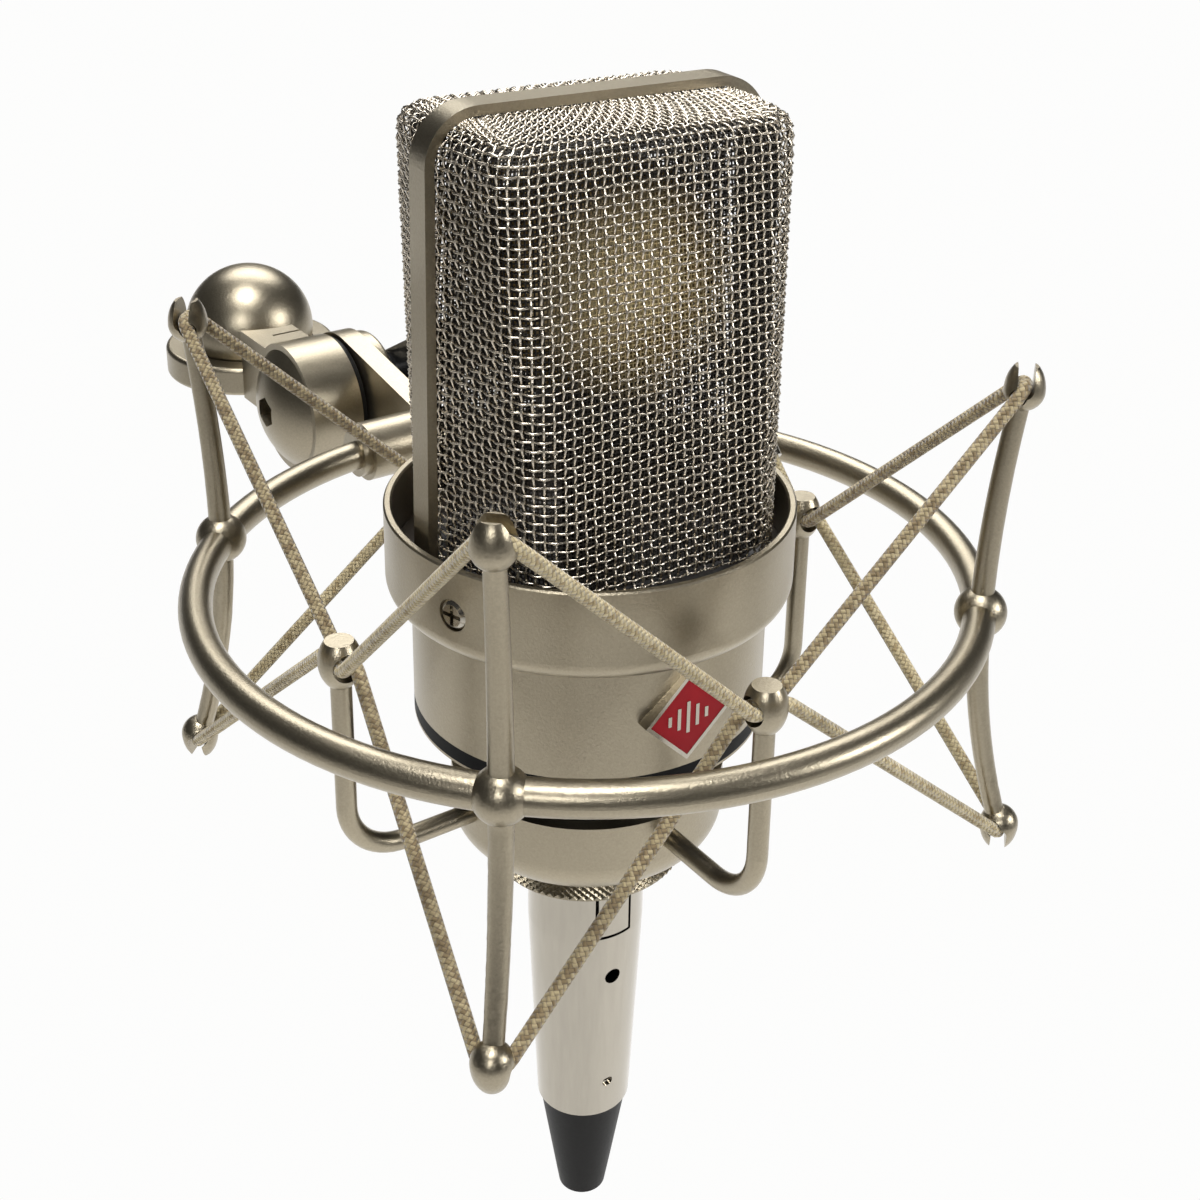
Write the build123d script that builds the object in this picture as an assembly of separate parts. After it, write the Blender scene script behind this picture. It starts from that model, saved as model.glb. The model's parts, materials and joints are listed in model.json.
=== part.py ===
from build123d import *
import math
import os

# Condenser microphone in an elastic shock mount, in millimetres.
# Row frame: the origin is the mouth of the stand socket, +Z is up, and the microphone hangs towards -Y.
# The cage, cradle and microphone are drawn about the microphone's own axis, with Z = 0 in the outer
# ring's plane, and are then set at the end of the tilt arm.

# ---------------------------------------------------------------- driving dimensions
reach = 118.0  # stand axis to microphone axis
ring_height = 7.4  # outer ring's plane above the socket's mouth
facing = -4.2  # how far the microphone is turned in its cradle, degrees
running_gap = 0.05  # radial clearance of anything that turns on something
body_gap = 0.3  # space between pieces that move past each other
seat_gap = 0.05  # radial clearance of pieces that stay fitted together

# cage
ring_radius = 57.0
ring_tube = 2.4
hub_radius = 3.8
hub_out = 0.2  # hub centres lie this far outside the ring's centreline
upper_hook_height = 35.5
lower_hook_height = 36.3
upper_lean = 2.7  # how far the posts' upper ends lean outwards
lower_lean = 6.0
post_radius_hub = 1.7
post_radius_end = 1.4
hook_radius = 2.85
hook_egg = 4.4  # half-height of the hook's open half, before its ears are cut short
hook_tip = 3.6  # height of the ears above the hook's widest level
hook_slot = 2.3
hook_seat = 0.8  # the cord lies this far above the hook's widest level
hook_half = 1.6  # half the cord's straight run across the hook
bed_gap = 0.2  # room round the cord where it beds into a hook
first_post = 45.0

# elastic loops
cord_radius = 1.0
cord_side_gap = 0.08
cord_turn = 2.0  # bend radius at hooks and balls
crimp_radius = 1.6
crimp_length = 6.0
crimp_along = 0.22  # share of the last span between the ball and the crimp's middle

# cradle
neck_radius = 12.5  # the threaded neck that comes down through the cup
arm_reach = 41.2
arm_radius = 1.5
arm_bend = 9.0
ball_radius = 3.05
ball_egg = 4.3
ball_flat = 3.2  # height of the flat top above the ball's centre
ball_z = -1.3
ball_half = 2.9  # half the cord's straight run through the ball
eye_gap = 0.12
cup_radius = neck_radius + 8.5
cup_wall = 2.2
cup_rim_z = -30.5
arm_root_z = cup_rim_z - 3.6
cup_bottom_z = cup_rim_z - 12.9
cup_corner = 5.6
pad_thickness = 1.7

# microphone head
head_radius = 30.0
head_wall = 1.2
head_rim_z = 13.0
head_base_z = -1.0
head_corner = 3.0
flange_height = 3.4
floor_thickness = 2.0
band_top_z = 73.1
band_half_foot = head_radius - head_wall - 1.6  # stands inside the head ring
band_half_top = band_half_foot - 0.8
band_width = 4.7
band_thickness = 1.4
band_corner = 8.0
grille_foot_z = 9.0
grille_wall = 1.0
grille_depth_foot = head_radius - head_wall - 6.8
grille_depth_bend = grille_depth_foot - 6.2
grille_bend_z = band_top_z - 2.4
grille_corner_foot = band_half_foot - 8.7  # where the grille's front turns into its sides
grille_corner_top = band_half_top - 2.9
gauze_inset = 1.6
gauze_wall = 0.5
screw_head_radius = 2.3
screw_head_depth = 1.6
screw_z = 6.0
screw_angle = 201.5

# capsule
capsule_z = 47.5
capsule_radius = 17.0
diaphragm_radius = 13.6
capsule_half = 3.4
clamp_ring_thickness = 0.9
capsule_screw_count = 8
pedestal_radius = 4.5
lead_radius = 0.8

# microphone body
tube_radius = head_radius - 3.7
tube_wall = 1.5
tube_bottom_z = -21.0
label_top_z = -18.3
label_height = 2.3
label_thickness = 0.4
badge_diagonal = 13.8
badge_z = -9.6
badge_front = tube_radius + 1.2
badge_border = 0.8
inlay_depth = 0.35
base_thickness = 3.0
boss_radius = cup_radius - cup_wall - 0.5
neck_bore = 8.2
board_radius = tube_radius - tube_wall - 3.8
board_z = -8.0
board_thickness = 1.6
pin_radius = 1.2
pin_circle = 4.0
insert_thickness = 4.0

# nut
nut_radius = neck_radius + 2.7
nut_height = 4.3
neck_bottom_z = cup_bottom_z - body_gap - nut_height + 0.1
insert_bottom_z = neck_bottom_z + 13.6

# plug
plug_top_z = neck_bottom_z - 0.6
plug_radius = 9.2
plug_foot_radius = 7.6
plug_bottom_z = plug_top_z - 48.3
plug_straight = 12.0
plug_wall = 1.2
nose_radius = neck_bore - body_gap
nose_top_z = insert_bottom_z - 0.8
latch_width = 5.4
latch_height = 10.0
latch_gap = 0.5
boot_end_z = plug_bottom_z - 20.5
boot_end_radius = 3.9
cable_bore = 3.1
plug_screw_z = plug_bottom_z + 6.6
plug_window_z = plug_top_z - 19.5
plug_window_radius = 1.35

# swivel
socket_radius = 6.0
socket_depth = 13.0
knob_radius = 12.2
knob_z = 9.5
knob_cut_z = 3.0
sleeve_radius = 8.5
collar_radius = 16.1
collar_base_z = 1.1
collar_top_z = 6.6
clip_thickness = 0.6
clip_radius = 10.6
pivot_out = 32.4  # stand axis to tilt axis
pivot_z = 5.4
pivot_radius = 3.0
lug_radius = 11.8
lug_left = -8.0
lug_right = 1.5
lug_top_z = 14.4
lug_foot_z = 0.9
dome_radius = 10.7
dome_height = 4.3
hex_flats = 5.0
washer_thickness = 1.1
arm_plate = 4.0
arm_tip_radius = 5.0
boss_half = 7.5
boss_tube = 5.0
disc_thickness = 3.0
lever_hub_radius = 6.2
lever_hub_length = 8.0
lever_length = 40.0
lever_lift = 32.0  # degrees above the level
lever_width = 9.0
lever_thickness = 5.0

ring_origin = Vector(0, -reach, ring_height)
at_ring = Location(ring_origin)
at_microphone = Location(ring_origin, (0, 0, facing))
parts = {}


# ---------------------------------------------------------------- helpers
def rod(radius, start, end):
    """A round bar between two points."""
    start, end = Vector(*start), Vector(*end)
    along = end - start
    plane = Plane(origin=start, z_dir=along)
    return extrude(plane * Circle(radius), amount=along.length)


def tube(outer, inner, low, high):
    """A ring about Z between two heights."""
    ring = Circle(outer) - Circle(inner)
    return extrude(Plane.XY.offset(low) * ring, amount=high - low)


def disc(radius, low, high):
    return extrude(Plane.XY.offset(low) * Circle(radius), amount=high - low)


def bar_x(radius, left, right, y, z):
    """A round bar along X."""
    return rod(radius, (left, y, z), (right, y, z))


def turned(points):
    """A solid of revolution about Z from (radius, height) points."""
    profile = make_face(Polyline(*[(r, 0, z) for r, z in points], close=True))
    return revolve(profile, Axis.Z)


def polar(angle, radius, z):
    a = math.radians(angle)
    return Vector(radius * math.cos(a), radius * math.sin(a), z)


def egg(radius, low, high):
    """A ball about Z drawn out to its own half-heights below and above its widest level."""
    turns = [math.radians(15 * k) for k in range(7)]
    upper = Spline(*[(radius * math.cos(t), high * math.sin(t)) for t in turns],
                   tangents=[(0, 1), (-1, 0)])
    lower = Spline(*[(radius * math.cos(t), -low * math.sin(t)) for t in turns],
                   tangents=[(0, -1), (-1, 0)])
    half = make_face([upper, lower, Line((0, high), (0, -low))])
    return revolve(Plane.XZ * half, Axis.Z)


def tangent_way(angle):
    a = math.radians(angle)
    return Vector(-math.sin(a), math.cos(a), 0)


def around(shape, angles):
    return [Rot(0, 0, angle) * shape for angle in angles]


def quarter_angles(first):
    return [first + 90 * k for k in range(4)]


def add(name, shapes, location=Location()):
    """Names one piece, or a group of like pieces, and sets it in the row frame."""
    pieces = shapes if isinstance(shapes, (list, tuple)) else [shapes]
    solids = [solid for piece in pieces for solid in piece.solids()]
    placed = [location * solid for solid in solids]
    parts[name] = placed[0] if len(placed) == 1 else Compound(children=placed)


# ---------------------------------------------------------------- cage
def hook_rise(side):
    return upper_hook_height if side > 0 else lower_hook_height


def hook_lean(side):
    return upper_lean if side > 0 else lower_lean


def post_axis(side, share):
    """Radius of the bowed post's centreline at a share of the way from the hub to the hook."""
    return ring_radius + hub_out + hook_lean(side) * share**2


def post_half(side):
    """One tapered half of a post, from the hub out to its hook, in the XZ plane."""
    stations = 5
    sections = []
    for k in range(stations):
        share = k / (stations - 1)
        z = side * hook_rise(side) * share
        slope = 2 * hook_lean(side) * share / hook_rise(side)
        radius = post_radius_hub + (post_radius_end - post_radius_hub) * share
        plane = Plane(origin=(post_axis(side, share), 0, z), z_dir=(slope, 0, side))
        sections.append(plane * Circle(radius))
    hub = Pos(post_axis(side, 0), 0, 0) * Sphere(hub_radius)
    return loft(sections) - hub - hook_body(side)


def hook_body(side):
    """The hook's closed outside, its wide level just inside the cord's seat."""
    body = egg(hook_radius, hook_radius, hook_egg)
    if side < 0:
        body = Rot(180, 0, 0) * body
    return Pos(post_axis(side, 1), 0, side * (hook_rise(side) - hook_seat)) * body


def cord_bed(side):
    """The space round the cord where it bends over a hook's seat."""
    seat = Vector(post_axis(side, 1), 0, side * hook_rise(side))
    across = Vector(0, hook_half, 0)
    path = FilletPolyline(polar(-45, arm_reach, ball_z), seat - across, seat + across,
                          polar(45, arm_reach, ball_z), radius=cord_turn)
    return sweep(Plane(origin=path @ 0, z_dir=path % 0) * Circle(cord_radius + bed_gap),
                 path=path)


def hook_ball(side):
    """A ball with a slot that opens away from the ring's plane, and an ear each side of it."""
    over = 4 * hook_radius
    trench = Pos(0, 0, over / 2) * Box(hook_slot, over, over)
    trench = trench + Cylinder(hook_slot / 2, over, rotation=(90, 0, 0))
    tips = Pos(0, 0, hook_tip - hook_seat + over / 2) * Box(over, over, over)
    cutter = trench + tips
    if side < 0:
        cutter = Rot(180, 0, 0) * cutter
    cutter = Pos(post_axis(side, 1), 0, side * hook_rise(side)) * cutter
    return hook_body(side) - cutter - cord_bed(side)


def make_cage():
    angles = quarter_angles(first_post)
    ring = Torus(ring_radius, ring_tube)
    hub_seats = around(Pos(post_axis(1, 0), 0, 0) * Sphere(hub_radius), angles)
    add("outer_ring", ring, at_ring)
    add("ring_hubs", [seat - ring for seat in hub_seats], at_ring)
    add("upper_posts", around(post_half(1), angles), at_ring)
    add("lower_posts", around(post_half(-1), angles), at_ring)
    add("upper_hooks", around(hook_ball(1), angles), at_ring)
    add("lower_hooks", around(hook_ball(-1), angles), at_ring)
    add("ring_boss", boss_shape() - ring, at_ring)


def boss_shape():
    """The stepped sleeve that grips the ring where the tilt arm meets it."""
    sleeve = bar_x(boss_tube, -boss_half, boss_half, ring_radius, 0)
    step = bar_x(boss_tube - 1.0, -boss_half - 1.6, boss_half + 1.6, ring_radius, 0)
    return sleeve + step


# ---------------------------------------------------------------- elastic loops
def loop_points(first_side, lane):
    """Corners of one closed elastic loop: hook, ball, hook, ball, all the way round."""
    points = []
    for k in range(4):
        hook_angle = first_post + 90 * k
        ball_angle = 90 * (k + 1)
        side = first_side if k % 2 == 0 else -first_side
        seat = polar(hook_angle, post_axis(side, 1), side * hook_rise(side))
        points.append(seat - tangent_way(hook_angle) * hook_half)
        points.append(seat + tangent_way(hook_angle) * hook_half)
        eye = polar(ball_angle, arm_reach + lane, ball_z)
        points.append(eye - tangent_way(ball_angle) * ball_half)
        points.append(eye + tangent_way(ball_angle) * ball_half)
    return points


def make_loops():
    """Two closed loops. They cross inside each ball, side by side in its hole."""
    lane = cord_radius + cord_side_gap / 2
    crimps = []
    for name, side, shift in (("elastic_loop_a", 1, lane), ("elastic_loop_b", -1, -lane)):
        points = loop_points(side, shift)
        path = FilletPolyline(*points, radius=cord_turn, close=True)
        start = path @ 0
        section = Plane(origin=start, z_dir=path % 0) * Circle(cord_radius)
        cord = sweep(section, path=path)
        length = path.length
        print(name, "length", round(length, 1), "bend radius", cord_turn, "volume ratio",
              round(cord.volume / (math.pi * cord_radius**2 * length), 4))
        add(name, cord, at_ring)
        near, far = points[15], points[0]
        way = (far - near).normalized()
        middle = near + (far - near) * crimp_along
        ends = [middle - way * crimp_length / 2, middle + way * crimp_length / 2]
        sleeve = rod(crimp_radius, ends[0], ends[1]) - rod(cord_radius, ends[0], ends[1])
        crimps.append(sleeve)
    add("cord_crimps", crimps, at_ring)


# ---------------------------------------------------------------- cradle
def arm_path():
    return FilletPolyline(
        (cup_radius - cup_wall / 2, 0, arm_root_z),
        (arm_reach, 0, arm_root_z),
        (arm_reach, 0, ball_z),
        radius=arm_bend,
    )


def ball_body():
    return Pos(arm_reach, 0, ball_z) * egg(ball_radius, ball_egg, ball_egg)


def cradle_arm():
    path = arm_path()
    section = Plane(origin=path @ 0, z_dir=path % 0) * Circle(arm_radius)
    return sweep(section, path=path) - ball_body()


def eye_ball():
    """The ball on an arm's end, drilled across for both cords and flat on top."""
    hole = cord_radius * 2 + cord_side_gap / 2 + eye_gap
    over = 4 * ball_radius
    cutter = Cylinder(hole, over, rotation=(90, 0, 0))
    cutter = cutter + Pos(0, 0, ball_flat + over / 2) * Box(over, over, over)
    return ball_body() - Pos(arm_reach, 0, ball_z) * cutter


def make_cradle():
    shell = disc(cup_radius, cup_bottom_z, cup_rim_z)
    shell = fillet(shell.edges().group_by(Axis.Z)[0], cup_corner)
    inner_radius = cup_radius - cup_wall
    floor_z = cup_bottom_z + cup_wall
    hollow = disc(inner_radius, floor_z, cup_rim_z + 1)
    hollow = fillet(hollow.edges().group_by(Axis.Z)[0], cup_corner - cup_wall)
    cup = shell - hollow - disc(neck_radius + body_gap, cup_bottom_z - 1, floor_z + 1)
    arms = around(cradle_arm(), quarter_angles(0))
    for arm in arms:
        cup = cup - arm
    add("cradle_cup", cup, at_ring)
    pad_outer = inner_radius - (cup_corner - cup_wall) - 0.1
    add("cup_pad", tube(pad_outer, neck_radius + body_gap, floor_z, floor_z + pad_thickness),
        at_ring)
    add("cradle_arms", arms, at_ring)
    add("cradle_balls", around(eye_ball(), quarter_angles(0)), at_ring)


# ---------------------------------------------------------------- microphone head
def head_outline(inset, foot_z):
    """The head's outline from the front: straight sides that lean out, and a rounded top."""
    top = band_top_z - inset
    foot = band_half_foot - inset
    upper = band_half_top - inset
    corner = max(band_corner - inset, 1.0)
    shoulder = top - band_corner
    sketch = make_face(Polyline(
        (-foot, 0, foot_z), (-upper, 0, shoulder), (-upper, 0, top),
        (upper, 0, top), (upper, 0, shoulder), (foot, 0, foot_z), close=True,
    ))
    tips = sketch.vertices().group_by(Axis.Z)[-1]
    return fillet(tips, corner * 0.98)


def make_band():
    """The flat U-shaped band over the top of the head, its feet on the head floor."""
    foot_z = head_base_z + flange_height + floor_thickness
    outer = head_outline(0, foot_z)
    inner = head_outline(band_thickness, foot_z - 1)
    half = band_width / 2
    band = extrude(outer, amount=half, both=True) - extrude(inner, amount=2 * half, both=True)
    add("head_band", band, at_microphone)


def plan_section(half, corner_x, depth, radius, z):
    """One level section of the front half of the head, corners rounded."""
    part_y = -band_width / 2
    face = make_face(Polyline(
        (-half, 4, z), (-half, part_y, z), (-corner_x, -depth, z),
        (corner_x, -depth, z), (half, part_y, z), (half, 4, z), close=True,
    ))
    corners = face.vertices().group_by(Axis.Y)[0]
    return fillet(corners, radius)


def front_block(inset, foot_z):
    """The front half of the head as one closed block, set in by inset from the wire's outside."""
    edge = band_thickness + inset
    outline = extrude(head_outline(edge, foot_z), amount=40, both=True)
    top = band_top_z - edge
    depth_foot = grille_depth_foot - inset
    depth_bend = grille_depth_bend - inset
    bend_z = grille_bend_z - inset
    side = make_face(Polyline(
        (0, 0, foot_z), (0, -depth_foot, foot_z), (0, -depth_bend, bend_z),
        (0, -band_width / 2, top), (0, 0, top), close=True,
    ))
    bend = side.vertices().sort_by_distance((0, -depth_bend, bend_z))[0]
    side = fillet(bend, 3.0)
    slab = extrude(side, amount=40, both=True)
    low = plan_section(band_half_foot - edge + 0.4, grille_corner_foot - inset,
                       depth_foot + 0.2, 9.0 - inset, foot_z - 1)
    high = plan_section(band_half_top - edge + 0.4, grille_corner_top - inset,
                        depth_bend + 0.2, 5.0 - inset, band_top_z + 1)
    plan = loft([low, high])
    return outline & slab & plan


def half_shell(inset, wall):
    """A thin shell that bulges from the band, open towards the band and at the foot."""
    outer = front_block(inset, grille_foot_z)
    inner = front_block(inset + wall, grille_foot_z - 2)
    ahead = Pos(0, -band_width / 2, capsule_z) * Box(
        100, 60, 100, align=(Align.CENTER, Align.MAX, Align.CENTER))
    return (outer - inner) & ahead


def make_grilles():
    front = half_shell(0, grille_wall)
    add("front_grille", front, at_microphone)
    add("rear_grille", Rot(0, 0, 180) * front, at_microphone)
    gauze = half_shell(gauze_inset, gauze_wall)
    add("inner_gauze", [gauze, Rot(0, 0, 180) * gauze], at_microphone)


def ring_screw(shank_radius, depth):
    """A cross-recess screw along +X with the edge of its domed head at X = 0."""
    head = rod(screw_head_radius, (-screw_head_depth, 0, 0), (-0.4, 0, 0))
    from_foot = (Align.CENTER, Align.CENTER, Align.MIN)
    crown = Cone(screw_head_radius, screw_head_radius * 0.7, 0.5, align=from_foot)
    shank = rod(shank_radius, (-screw_head_depth - depth, 0, 0), (-screw_head_depth, 0, 0))
    slot = Box(1.8, screw_head_radius * 1.35, 0.6)
    screw = head + Pos(-0.4, 0, 0) * Rot(0, 90, 0) * crown + shank
    return screw - slot - Rot(90, 0, 0) * slot


def make_head_ring():
    ring = disc(head_radius, head_base_z, head_rim_z)
    ring = fillet(ring.edges().group_by(Axis.Z)[0], head_corner)
    flange_top = head_base_z + flange_height
    inner = head_radius - head_wall
    ring = ring - disc(inner, flange_top, head_rim_z + 1)
    ring = ring - disc(tube_radius - tube_wall, head_base_z - 1, flange_top + 1)
    ring = chamfer(ring.edges().group_by(Axis.Z)[-1], 0.25)

    floor = disc(inner - seat_gap, flange_top, flange_top + floor_thickness)
    floor_top = flange_top + floor_thickness
    block_depth = 3.4
    block = Box(block_depth, 5.0, grille_foot_z - 0.4 - floor_top,
                align=(Align.MAX, Align.CENTER, Align.MIN))
    block = Pos(inner - seat_gap, 0, floor_top) * block
    block = block & disc(inner - seat_gap, floor_top, grille_foot_z)
    lead_hole = disc(lead_radius + 0.4, flange_top - 1, grille_foot_z)
    shank_radius = 1.1
    screw = Pos(head_radius, 0, screw_z) * ring_screw(shank_radius, 3.0)
    head_bore = rod(screw_head_radius + seat_gap, (inner - 0.1, 0, screw_z),
                    (head_radius + 1, 0, screw_z))
    shank_bore = rod(shank_radius, (inner - block_depth - 1, 0, screw_z), (inner, 0, screw_z))
    seat = rod(screw_head_radius + seat_gap, (head_radius - screw_head_depth, 0, screw_z),
               (head_radius + 1, 0, screw_z))
    for angle in (screw_angle, screw_angle + 180):
        turn = Rot(0, 0, angle)
        ring = ring - turn * head_bore
        floor = floor + turn * block - turn * shank_bore - turn * seat
    add("head_ring", ring, at_microphone)
    add("head_floor", floor - lead_hole, at_microphone)
    add("ring_screws", around(screw, (screw_angle, screw_angle + 180)), at_microphone)
    return floor_top


def make_capsule(floor_top):
    """A double-sided capsule on a pedestal, its axis front to back."""
    across = Location((0, 0, capsule_z), (90, 0, 0))
    frame = across * (Cylinder(capsule_radius, 2 * capsule_half)
                      - Cylinder(diaphragm_radius, 4 * capsule_half))
    plate_half = capsule_half - 0.6
    film = 0.2
    add("capsule_frame", frame, at_microphone)
    add("capsule_backplate", across * Cylinder(diaphragm_radius, 2 * plate_half), at_microphone)
    film_at = plate_half + film / 2
    films = [across * Pos(0, 0, side * film_at) * Cylinder(diaphragm_radius, film)
             for side in (-1, 1)]
    add("diaphragms", films, at_microphone)
    clamp = (Cylinder(capsule_radius - 0.4, clamp_ring_thickness)
             - Cylinder(diaphragm_radius - 0.8, 2 * clamp_ring_thickness))
    clamp_at = capsule_half + clamp_ring_thickness / 2
    clamps = [across * Pos(0, 0, side * clamp_at) * clamp for side in (-1, 1)]
    screw_circle = (capsule_radius + diaphragm_radius) / 2
    heads, shift = [], 180 / capsule_screw_count
    for side in (-1, 1):
        for k in range(capsule_screw_count):
            place = polar(shift + 360 * k / capsule_screw_count, screw_circle,
                          side * (capsule_half + clamp_ring_thickness + 0.35))
            heads.append(across * Pos(place) * Cylinder(0.9, 0.7))
    add("capsule_clamp_rings", clamps, at_microphone)
    add("capsule_screws", heads, at_microphone)

    saddle_z = capsule_z - capsule_radius
    post = disc(pedestal_radius, floor_top, saddle_z - 3)
    saddle = Pos(0, 0, saddle_z - 1.5) * Box(14, 2 * capsule_half, 6)
    post = post + saddle - across * Cylinder(capsule_radius, 8 * capsule_half)
    add("capsule_pedestal", post - disc(lead_radius + 0.4, floor_top - 1, capsule_z),
        at_microphone)
    add("capsule_lead", disc(lead_radius, board_z, saddle_z - 0.5), at_microphone)


# ---------------------------------------------------------------- microphone body
def diamond(diagonal, back_y, front_y, z):
    half = diagonal / 2
    face = make_face(Polyline((half, back_y, 0), (0, back_y, half), (-half, back_y, 0),
                              (0, back_y, -half), close=True))
    return Pos(0, 0, z) * extrude(face, amount=back_y - front_y, dir=(0, -1, 0))


def make_body():
    inner = tube_radius - tube_wall
    label = tube(tube_radius, tube_radius - label_thickness,
                 label_top_z - label_height, label_top_z)
    housing = tube(tube_radius, inner, tube_bottom_z, head_base_z) - label
    add("housing_tube", housing, at_microphone)
    add("label_band", label, at_microphone)

    filled = disc(tube_radius, tube_bottom_z, head_base_z)
    plate = diamond(badge_diagonal, -(tube_radius - tube_wall), -badge_front, badge_z) - filled
    recess = diamond(badge_diagonal - 2 * badge_border, -badge_front + inlay_depth,
                     -badge_front - 1, badge_z)
    inlay = diamond(badge_diagonal - 2 * badge_border, -badge_front + inlay_depth,
                    -badge_front + 0.1, badge_z)
    add("badge_plate", plate - recess, at_microphone)
    add("badge_inlay", inlay, at_microphone)

    base_top = tube_bottom_z + base_thickness
    boss_bottom = cup_bottom_z + cup_wall + pad_thickness + body_gap
    add("base_plate", tube(inner - seat_gap, neck_radius + seat_gap, tube_bottom_z, base_top),
        at_microphone)
    add("base_boss", tube(boss_radius, neck_radius + seat_gap, boss_bottom, tube_bottom_z),
        at_microphone)
    neck = tube(neck_radius, neck_bore, neck_bottom_z, base_top)
    neck = neck + tube(neck_radius + 2, neck_bore, base_top, base_top + 1.2)
    add("threaded_neck", neck, at_microphone)

    pins, pin_holes = [], []
    for angle in (150, 270, 30):
        place = polar(angle, pin_circle, 0)
        pin = Pos(place.X, place.Y, 0) * disc(
            pin_radius, insert_bottom_z - 9.5, insert_bottom_z + insert_thickness + 2)
        pins.append(pin)
        pin_holes.append(pin)
    insert = disc(neck_bore - seat_gap, insert_bottom_z, insert_bottom_z + insert_thickness)
    for hole in pin_holes:
        insert = insert - hole
    add("connector_insert", insert, at_microphone)
    add("connector_pins", pins, at_microphone)

    board = disc(board_radius, board_z - board_thickness, board_z)
    post_circle = board_radius - 4
    standoffs = [Pos(p.X, p.Y, 0) * disc(1.6, base_top, board_z - board_thickness)
                 for p in (polar(a, post_circle, 0) for a in quarter_angles(45))]
    add("circuit_board", board, at_microphone)
    add("board_posts", standoffs, at_microphone)
    layout = ((0, 12, 4.0, 7.0), (100, 13, 3.2, 6.0), (160, 10, 2.6, 5.0),
              (225, 13, 3.4, 7.5), (290, 12, 2.6, 5.0), (50, 8, 2.0, 4.0))
    cans = []
    for angle, radius, size, height in layout:
        place = polar(angle, radius, 0)
        cans.append(Pos(place.X, place.Y, 0) * disc(size, board_z, board_z + height))
    add("board_components", cans, at_microphone)


# ---------------------------------------------------------------- nut
def make_nut():
    top = cup_bottom_z - body_gap
    nut = tube(nut_radius, neck_radius + running_gap, top - nut_height, top)
    rims = nut.edges().filter_by(GeomType.CIRCLE).group_by(SortBy.RADIUS)[-1]
    add("knurled_nut", chamfer(rims, 0.4), at_ring)


# ---------------------------------------------------------------- plug
def plug_outside(inset):
    knee = plug_top_z - plug_straight
    return [(plug_radius - inset, plug_top_z), (plug_radius - inset, knee),
            (plug_foot_radius - inset, plug_bottom_z)]


def latch_block(grow):
    """The wedge of the shell that the latch fills, grown by a gap on its edges."""
    top = plug_top_z - 1.0
    middle = top - latch_height / 2
    block = Box(latch_width + 2 * grow, plug_radius, latch_height + 2 * grow)
    return Pos(0, -plug_radius, middle) * block


def make_plug():
    outside = plug_outside(0)
    inside = plug_outside(plug_wall)
    body = turned([(0, plug_top_z)] + outside + [(0, plug_bottom_z)])
    core = turned([(0, plug_top_z + 1), (inside[0][0], plug_top_z + 1)] + inside[1:2]
                  + [(inside[2][0], plug_bottom_z - 1), (0, plug_bottom_z - 1)])
    nose_wall = 0.8
    nose_inner = nose_radius - nose_wall
    collar = tube(plug_radius - plug_wall + 0.2, nose_inner, plug_top_z - 1.0, plug_top_z)
    nose = tube(nose_radius, nose_inner, plug_top_z - 1.0, nose_top_z)
    shell = body - core + collar + nose
    window = rod(plug_window_radius, (0, 0, plug_window_z), (0, -plug_radius * 2, plug_window_z))
    screw_hole = rod(0.9, (0, -5, plug_screw_z), (0, -plug_radius * 2, plug_screw_z))
    shell = shell - latch_block(latch_gap) - window - screw_hole
    add("plug_shell", shell, at_microphone)

    wall = body - turned([(0, plug_top_z + 1), (plug_radius - plug_wall + 0.1, plug_top_z + 1),
                          (plug_radius - plug_wall + 0.1, plug_bottom_z),
                          (0, plug_bottom_z)])
    add("latch_tab", wall & latch_block(0), at_microphone)

    contact_bore = pin_radius + running_gap
    contact_outer = contact_bore + 0.45
    insert_foot = nose_top_z - 30.0
    insert = disc(nose_inner - seat_gap, insert_foot, nose_top_z - 0.4)
    contacts = []
    for angle in (150, 270, 30):
        place = polar(angle, pin_circle, 0)
        spot = Pos(place.X, place.Y, 0)
        insert = insert - spot * disc(contact_outer, insert_foot - 2, nose_top_z)
        contacts.append(spot * tube(contact_outer, contact_bore, insert_foot + 1, nose_top_z - 1))
    add("plug_insert", insert, at_microphone)
    add("plug_contacts", contacts, at_microphone)
    add("cable_chuck", tube(5.8, cable_bore + 0.2, plug_bottom_z + 4, plug_bottom_z + 16),
        at_microphone)
    screw = rod(0.85, (0, -5.9, plug_screw_z), (0, -7.4, plug_screw_z))
    add("plug_screw", screw - Pos(0, -7.4, plug_screw_z) * Box(1.2, 0.8, 0.35), at_microphone)

    foot_inner = plug_foot_radius - plug_wall
    boot = turned([(0, plug_bottom_z + 3.6), (foot_inner - seat_gap, plug_bottom_z + 3.6),
                   (foot_inner - seat_gap, plug_bottom_z), (plug_foot_radius - 0.4, plug_bottom_z),
                   (plug_foot_radius - 0.8, plug_bottom_z - 2.5),
                   (boot_end_radius + 0.5, boot_end_z + 3), (boot_end_radius, boot_end_z),
                   (0, boot_end_z)])
    add("cable_boot", boot - disc(cable_bore, boot_end_z - 1, plug_bottom_z + 5), at_microphone)


# ---------------------------------------------------------------- swivel
def make_stand_fixing():
    """The round knob with its sleeve, which a stand's tube enters from below."""
    ball = Pos(0, 0, knob_z) * Sphere(knob_radius)
    ball = ball & disc(2 * knob_radius, knob_cut_z, 4 * knob_radius)
    knob = ball + disc(sleeve_radius, 0, knob_z) - disc(socket_radius, -1, socket_depth)
    add("ball_knob", knob)
    clip_z = 0.15
    add("retaining_clip", tube(clip_radius, sleeve_radius, clip_z, clip_z + clip_thickness))


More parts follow.
